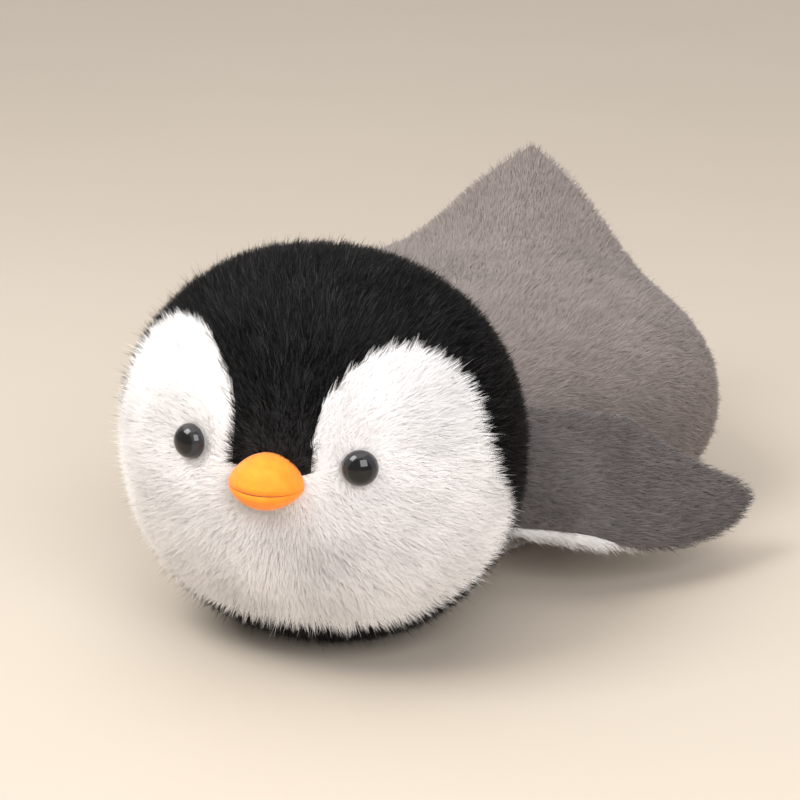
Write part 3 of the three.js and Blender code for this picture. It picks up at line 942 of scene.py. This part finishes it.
def body_surface():
    rows, columns = 110, 120
    points = body_points(*ring_grid(BODY_OPENING, 1, rows, columns), BODY_INSET)
    tip = len(points)
    points = np.concatenate([points, points[-columns:].mean(0, keepdims=True)])
    last_ring = np.arange(tip - columns, tip)
    end = np.stack([last_ring, np.roll(last_ring, -1), np.full(columns, tip)], axis=1)
    faces = np.concatenate([ring_faces(rows, columns), end])
    edges = edges_of(faces)
    for field in (outside_head, above_side_seam, middle_plane):
        points = snap(points, edges, field)
    return Surface(points, faces)


def outside_head(points):
    """Positive where a point is clear of the room that the head turns in."""
    local = to_head(points)
    room = head_radii(local) + NECK_PLAY
    return (np.abs(local / room) ** HEAD_ROUNDNESS).sum(1) - 1


def above_side_seam(points):
    behind = points[:, 1] - HEAD_MIDDLE[1] - SIDE_SEAM_Y
    return points[:, 2] - SIDE_SEAM_HEIGHT - behind * SIDE_SEAM_RISE


def comb_body(surface):
    """Pile lies back towards the tail and down the sides."""
    points = surface.points
    sideways = np.sign(points[:, 0]) * np.minimum(np.abs(points[:, 0]) / (90 * MM), 1)
    way = np.stack([0.35 * sideways, np.ones(len(points)), -0.35 * np.abs(sideways)], axis=1)
    surface.comb = unit(tangent(way, surface.normals))
    surface.length = np.full(len(points), BODY_PILE)
    surface.lean = np.full(len(points), BODY_LEAN)


def make_body():
    """The back's two panels and the belly's, cut from one skin, open where the head rests."""
    surface = body_surface()
    comb_body(surface)
    middles = surface.points[surface.faces].mean(1)
    shown = outside_head(middles) > 0
    above = above_side_seam(middles) > 0
    left = middles[:, 0] > 0
    panels = [
        ("back_left", shown & above & left, GREY_PLUSH, 1.9),
        ("back_right", shown & above & ~left, GREY_PLUSH, 1.9),
        ("belly_panel", shown & ~above, WHITE_PLUSH, 0.6),
    ]
    for k, (node, chosen, plush, density) in enumerate(panels):
        dress(node, surface, chosen, plush, "body", 0.7, PANEL_THICKNESS, per_mm2=density,
              seed=200 + 10 * k, **BODY_STRANDS)


# ---------------------------------------------------------------- flippers
def flipper_surface():
    """The paddle's skin in its own axes. Its rows run back along the seam."""
    rows, columns = 70, 64
    along, around = ring_grid(0.004, 0.996, rows, columns)
    chord, bow = np.cos(math.pi * along), np.sin(math.pi * along)
    outboard, up = np.cos(around), np.sin(around) * bow
    span = FLIPPER_SPAN - FLIPPER_INSET
    thick = FLIPPER_HALF_THICKNESS - FLIPPER_INSET
    tip_round = np.sqrt(np.maximum(0, 1 - np.abs(chord) ** FLIPPER_TIP_ROUNDNESS))
    x = np.where(outboard > 0, outboard * span * tip_round, outboard * bow * thick)
    thin = 1 - FLIPPER_THINNING * np.maximum(x, 0) / FLIPPER_SPAN
    local = np.stack([
        x,
        -chord * (FLIPPER_HALF_CHORD - FLIPPER_INSET)
        + FLIPPER_BEND * np.maximum(x / FLIPPER_SPAN, 0) ** 2,
        up * thick * thin,
    ], axis=1)
    faces = [ring_faces(rows, columns)]
    for row, turned in ((0, True), (rows - 1, False)):
        middle = np.full(columns, len(local))
        ring = np.arange(columns) + row * columns
        local = np.concatenate([local, local[ring].mean(0, keepdims=True)])
        ends = (np.roll(ring, -1), ring) if turned else (ring, np.roll(ring, -1))
        faces.append(np.stack([*ends, middle], axis=1))
    return Surface(local, np.concatenate(faces))


def flipper_pose(side):
    """From a flipper's own axes to the row frame, mirrored for the right one."""
    seam = joints["flipper_left_flap"]["pos_m"]
    pose = (Matrix.Rotation(FLIPPER_SEAM_ANGLE, 4, "Z") @ Matrix.Rotation(FLIPPER_SEAM_RISE, 4, "X")
            @ Matrix.Rotation(FLIPPER_DROOP, 4, "Y"))
    mirror = Matrix.Diagonal((side, 1, 1, 1))
    return np.array(mirror @ Matrix.Translation(seam) @ pose)


def past_sleeve(local):
    """How far points in the flipper's own axes lie past the sleeve's end."""
    return (local - SLEEVE_FRONT)[:, :2] @ SLEEVE_END_OUT


def make_flipper(side, name):
    """A paddle of grey plush over white, whose white shows along the middle of its front edge."""
    surface = flipper_surface()
    pose = flipper_pose(side)
    local = surface.points
    bend = np.maximum(local[:, 0], 0) / FLIPPER_SPAN
    way = np.stack([np.ones(len(local)), 0.25 + 2 * FLIPPER_BEND / FLIPPER_SPAN * bend,
                    np.zeros(len(local))], axis=1)
    points = posed(local, pose)
    placed = Surface(points, surface.faces)
    placed.comb = unit(tangent(way @ pose[:3, :3].T, placed.normals))
    placed.length = np.full(len(points), FLIPPER_PILE)
    placed.lean = np.full(len(points), FLIPPER_LEAN)
    middles = local[surface.faces].mean(1)
    outside_sleeve = past_sleeve(middles) > -SLEEVE_OVERLAP
    near_front = np.clip(-middles[:, 1] / FLIPPER_HALF_CHORD, 0, 1) ** 2
    out = middles[:, 0] / FLIPPER_SPAN
    half_way = np.clip((out - 0.25) / 0.15, 0, 1) * np.clip((0.75 - out) / 0.2, 0, 1)
    on_top = middles[:, 2] > WHITE_EDGE_RISE * near_front * half_way - WHITE_EDGE_DROP
    parts = (("top", on_top, FLIPPER_PLUSH), ("underside", ~on_top, WHITE_PLUSH))
    for k, (part, chosen, plush) in enumerate(parts):
        dress(f"flipper_{name}_{part}", placed, chosen & outside_sleeve, plush,
              f"{name}_flipper", 0.6, FLIPPER_PANEL_THICKNESS,
              seed=300 + 10 * k + (side > 0), **FLIPPER_STRANDS)


def sleeve_surface(side):
    """The short sleeve of plush from the shoulder to the flipper's root, bulged like a pad.

    Also says which faces are its upper, grey ones, and where the bend of the joint starts and
    ends."""
    pose = flipper_pose(1)
    shoulder = HEAD_MIDDLE * (0, 1, 0)
    front, back = posed(np.array([SLEEVE_FRONT, SLEEVE_BACK]), pose)
    low = np.array([SHOULDER_LOW + shoulder, front])
    high = np.array([SHOULDER_HIGH + shoulder, back])
    out = unit(np.array([(1.0, -0.1, 0.0), pose[:3, 2]]))
    thick = SLEEVE_HALF_THICKNESS
    rows, columns = 40, 72
    along, around = (values[:, None] for values in ring_grid(0, 1, rows, columns))
    middle = (low + high) / 2
    half = (high - low) / 2
    ease = along * along * (3 - 2 * along)
    arch = SLEEVE_ARCH * np.sin(math.pi * along) * (np.sin(around) > 0)
    points = (middle[0] * (1 - along) + middle[1] * along
              + (half[0] * (1 - along) + half[1] * along) * np.cos(around)
              + (out[0] * (1 - ease) + out[1] * ease) * np.sin(around)
              * (thick[0] * (1 - along) + thick[1] * along + arch))
    surface = Surface(points * (side, 1, 1), ring_faces(rows, columns))
    points = surface.points
    way = np.gradient(points.reshape(rows, columns, 3), axis=0).reshape(-1, 3)
    surface.comb = unit(tangent(way, surface.normals))
    surface.length = np.full(len(points), FLIPPER_PILE)
    surface.lean = np.full(len(points), FLIPPER_LEAN)
    seam = np.sin(around[:, 0]) + 0.1 + 0.6 * np.cos(around[:, 0])
    upper = seam[surface.faces].mean(1) > 0
    across = unit(np.cross(half[1], half[0])[None])[0]
    start = across * (middle[0] @ across + thick[0])
    end = across * (middle[1] @ across - thick[1] / 2)
    return surface, upper, start * (side, 1, 1), end * (side, 1, 1)


def make_sleeve(side, name):
    """The sleeve's grey upper and white lower side, bent between the body and the flipper."""
    surface, upper, start, end = sleeve_surface(side)
    parts = (("upper", upper, FLIPPER_PLUSH), ("lower", ~upper, WHITE_PLUSH))
    for k, (part, chosen, (slot, backing, pile)) in enumerate(parts):
        skin = panel(f"sleeve_{name}_{part}_backing", surface, chosen, FLIPPER_PANEL_THICKNESS,
                     backing)
        hair = grow(f"sleeve_{name}_{part}_pile", surface, chosen, material=pile,
                    seed=400 + 10 * k + (side > 0), **FLIPPER_STRANDS)
        for piece in (skin, hair):
            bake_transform(piece)


# ---------------------------------------------------------------- filling
FILLING_INSET = 0.7 * MM
LUMP_HEIGHT = 0.4 * MM
LUMP_SIZE = 16 * MM
LUMP_VOXEL = 3 * MM
NECK_VOXEL = 1.2 * MM  # the neck's wadding is small


def into_flipper(points, side):
    """Draws points that lie inside the sleeve back to its end."""
    pose = flipper_pose(side)
    local = unposed(points, pose)
    local[:, :2] += np.maximum(0, -past_sleeve(local))[:, None] * SLEEVE_END_OUT
    return posed(local, pose)


def make_filling(node, body, voxel):
    """A lumpy copy of a filling solid, a little inside it."""
    source = frame["nodes"][node]
    piece = bpy.data.objects.new(f"{node}_fibres", source.data.copy())
    bpy.context.scene.collection.objects.link(piece)
    piece.data.materials.clear()
    piece.data.materials.append(fibrefill)
    remesh = piece.modifiers.new("remesh", "REMESH")
    remesh.mode = "VOXEL"
    remesh.voxel_size = voxel
    apply_modifiers(piece)
    count = len(piece.data.vertices)
    places = np.empty(count * 3)
    piece.data.vertices.foreach_get("co", places)
    places = places.reshape(-1, 3)
    normals = np.array([v.normal for v in piece.data.vertices])
    lumps = np.clip(waves(places, LUMP_SIZE, 9)[:, 0], -1, 1)
    places = places - normals * (FILLING_INSET + LUMP_HEIGHT * lumps[:, None])
    if body == "body":
        places = draw_in_tail(places)
    if body.endswith("flipper"):
        places = into_flipper(places, 1 if body == "left_flipper" else -1)
    piece.data.vertices.foreach_set("co", places.reshape(-1))
    piece.data.polygons.foreach_set("use_smooth", [True] * len(piece.data.polygons))
    finish_piece(piece, body, [node])


# ---------------------------------------------------------------- studio
CAMERA_AZIMUTH = math.radians(21.5)
CAMERA_ELEVATION = math.radians(19)
CAMERA_DISTANCE = 0.6935
AIM_RIGHT = 26.7 * MM  # from the middle of the head, as the camera sees it
AIM_UP = 14.7 * MM
FLOOR_RADIUS = 3
FLOOR_SIDES = 96


def make_camera():
    """The camera, and the ways right, up and back towards it that the lights are placed by."""
    level = math.cos(CAMERA_ELEVATION)
    right = Vector((math.cos(CAMERA_AZIMUTH), math.sin(CAMERA_AZIMUTH), 0))
    back = Vector((math.sin(CAMERA_AZIMUTH) * level, -math.cos(CAMERA_AZIMUTH) * level,
                   math.sin(CAMERA_ELEVATION)))
    up = back.cross(right)
    target = Vector(HEAD_MIDDLE) + right * AIM_RIGHT + up * AIM_UP
    data = bpy.data.cameras.new("camera")
    data.lens = 90
    data.sensor_width = 36
    camera = bpy.data.objects.new("camera", data)
    bpy.context.scene.collection.objects.link(camera)
    turned = Matrix((right, up, back)).transposed().to_4x4()
    camera.matrix_world = Matrix.Translation(target + back * CAMERA_DISTANCE) @ turned
    bpy.context.scene.camera = camera
    return right, up, back


def make_light(name, place, target, size, power, colour):
    data = bpy.data.lights.new(name, "AREA")
    data.shape = "SQUARE"
    data.size = size
    data.energy = power
    data.color = colour
    light = bpy.data.objects.new(name, data)
    bpy.context.scene.collection.objects.link(light)
    light.location = place
    light.rotation_euler = (Vector(place) - Vector(target)).to_track_quat("Z", "Y").to_euler()


def make_overhead_light():
    """A wide soft light from above that reaches the floor evenly."""
    sky = bpy.data.lights.new("sky", "SUN")
    sky.energy = 1.5
    sky.angle = math.radians(75)
    overhead = bpy.data.objects.new("sky", sky)
    bpy.context.scene.collection.objects.link(overhead)
    overhead.rotation_euler = (math.radians(-8), math.radians(-14), 0)


def make_world():
    world = bpy.data.worlds.new("studio")
    world.use_nodes = True
    background = world.node_tree.nodes["Background"]
    background.inputs["Color"].default_value = (0.86, 0.82, 0.77, 1)
    background.inputs["Strength"].default_value = 0.62
    bpy.context.scene.world = world


def make_floor():
    turns = np.linspace(0, 2 * math.pi, FLOOR_SIDES, endpoint=False)
    points = [(FLOOR_RADIUS * math.cos(turn), FLOOR_RADIUS * math.sin(turn), 0) for turn in turns]
    mesh_object("floor", points, [range(FLOOR_SIDES)], floor_material())


def make_studio(right, up, back):
    middle = Vector((0, 0, 0.06))
    make_light("key", middle - right * 0.62 + up * 0.75 + back * 0.6, middle, 0.55, 9.5,
               (1.0, 0.98, 0.95))
    make_light("fill", middle + right * 0.35 + up * 0.3 + back * 1.1, middle, 0.7, 10,
               (0.98, 0.98, 1.0))
    make_overhead_light()
    make_world()
    make_floor()
    bpy.context.scene.view_settings.view_transform = "Standard"


make_studio(*make_camera())
make_head()
for side, name in SIDES:
    make_eye(side, f"eye_{name}")
    dress_washer(f"eye_washer_{name}")
make_beak()
make_body()
for side, name in SIDES:
    make_flipper(side, name)
for side, name in SIDES:
    make_sleeve(side, name)
make_filling("head_stuffing", "head", LUMP_VOXEL)
make_filling("beak_wadding", "head", LUMP_VOXEL)
make_filling("neck_wadding", "neck", NECK_VOXEL)
make_filling("body_stuffing", "body", LUMP_VOXEL)
for _, name in SIDES:
    make_filling(f"flipper_{name}_wadding", f"{name}_flipper", LUMP_VOXEL)
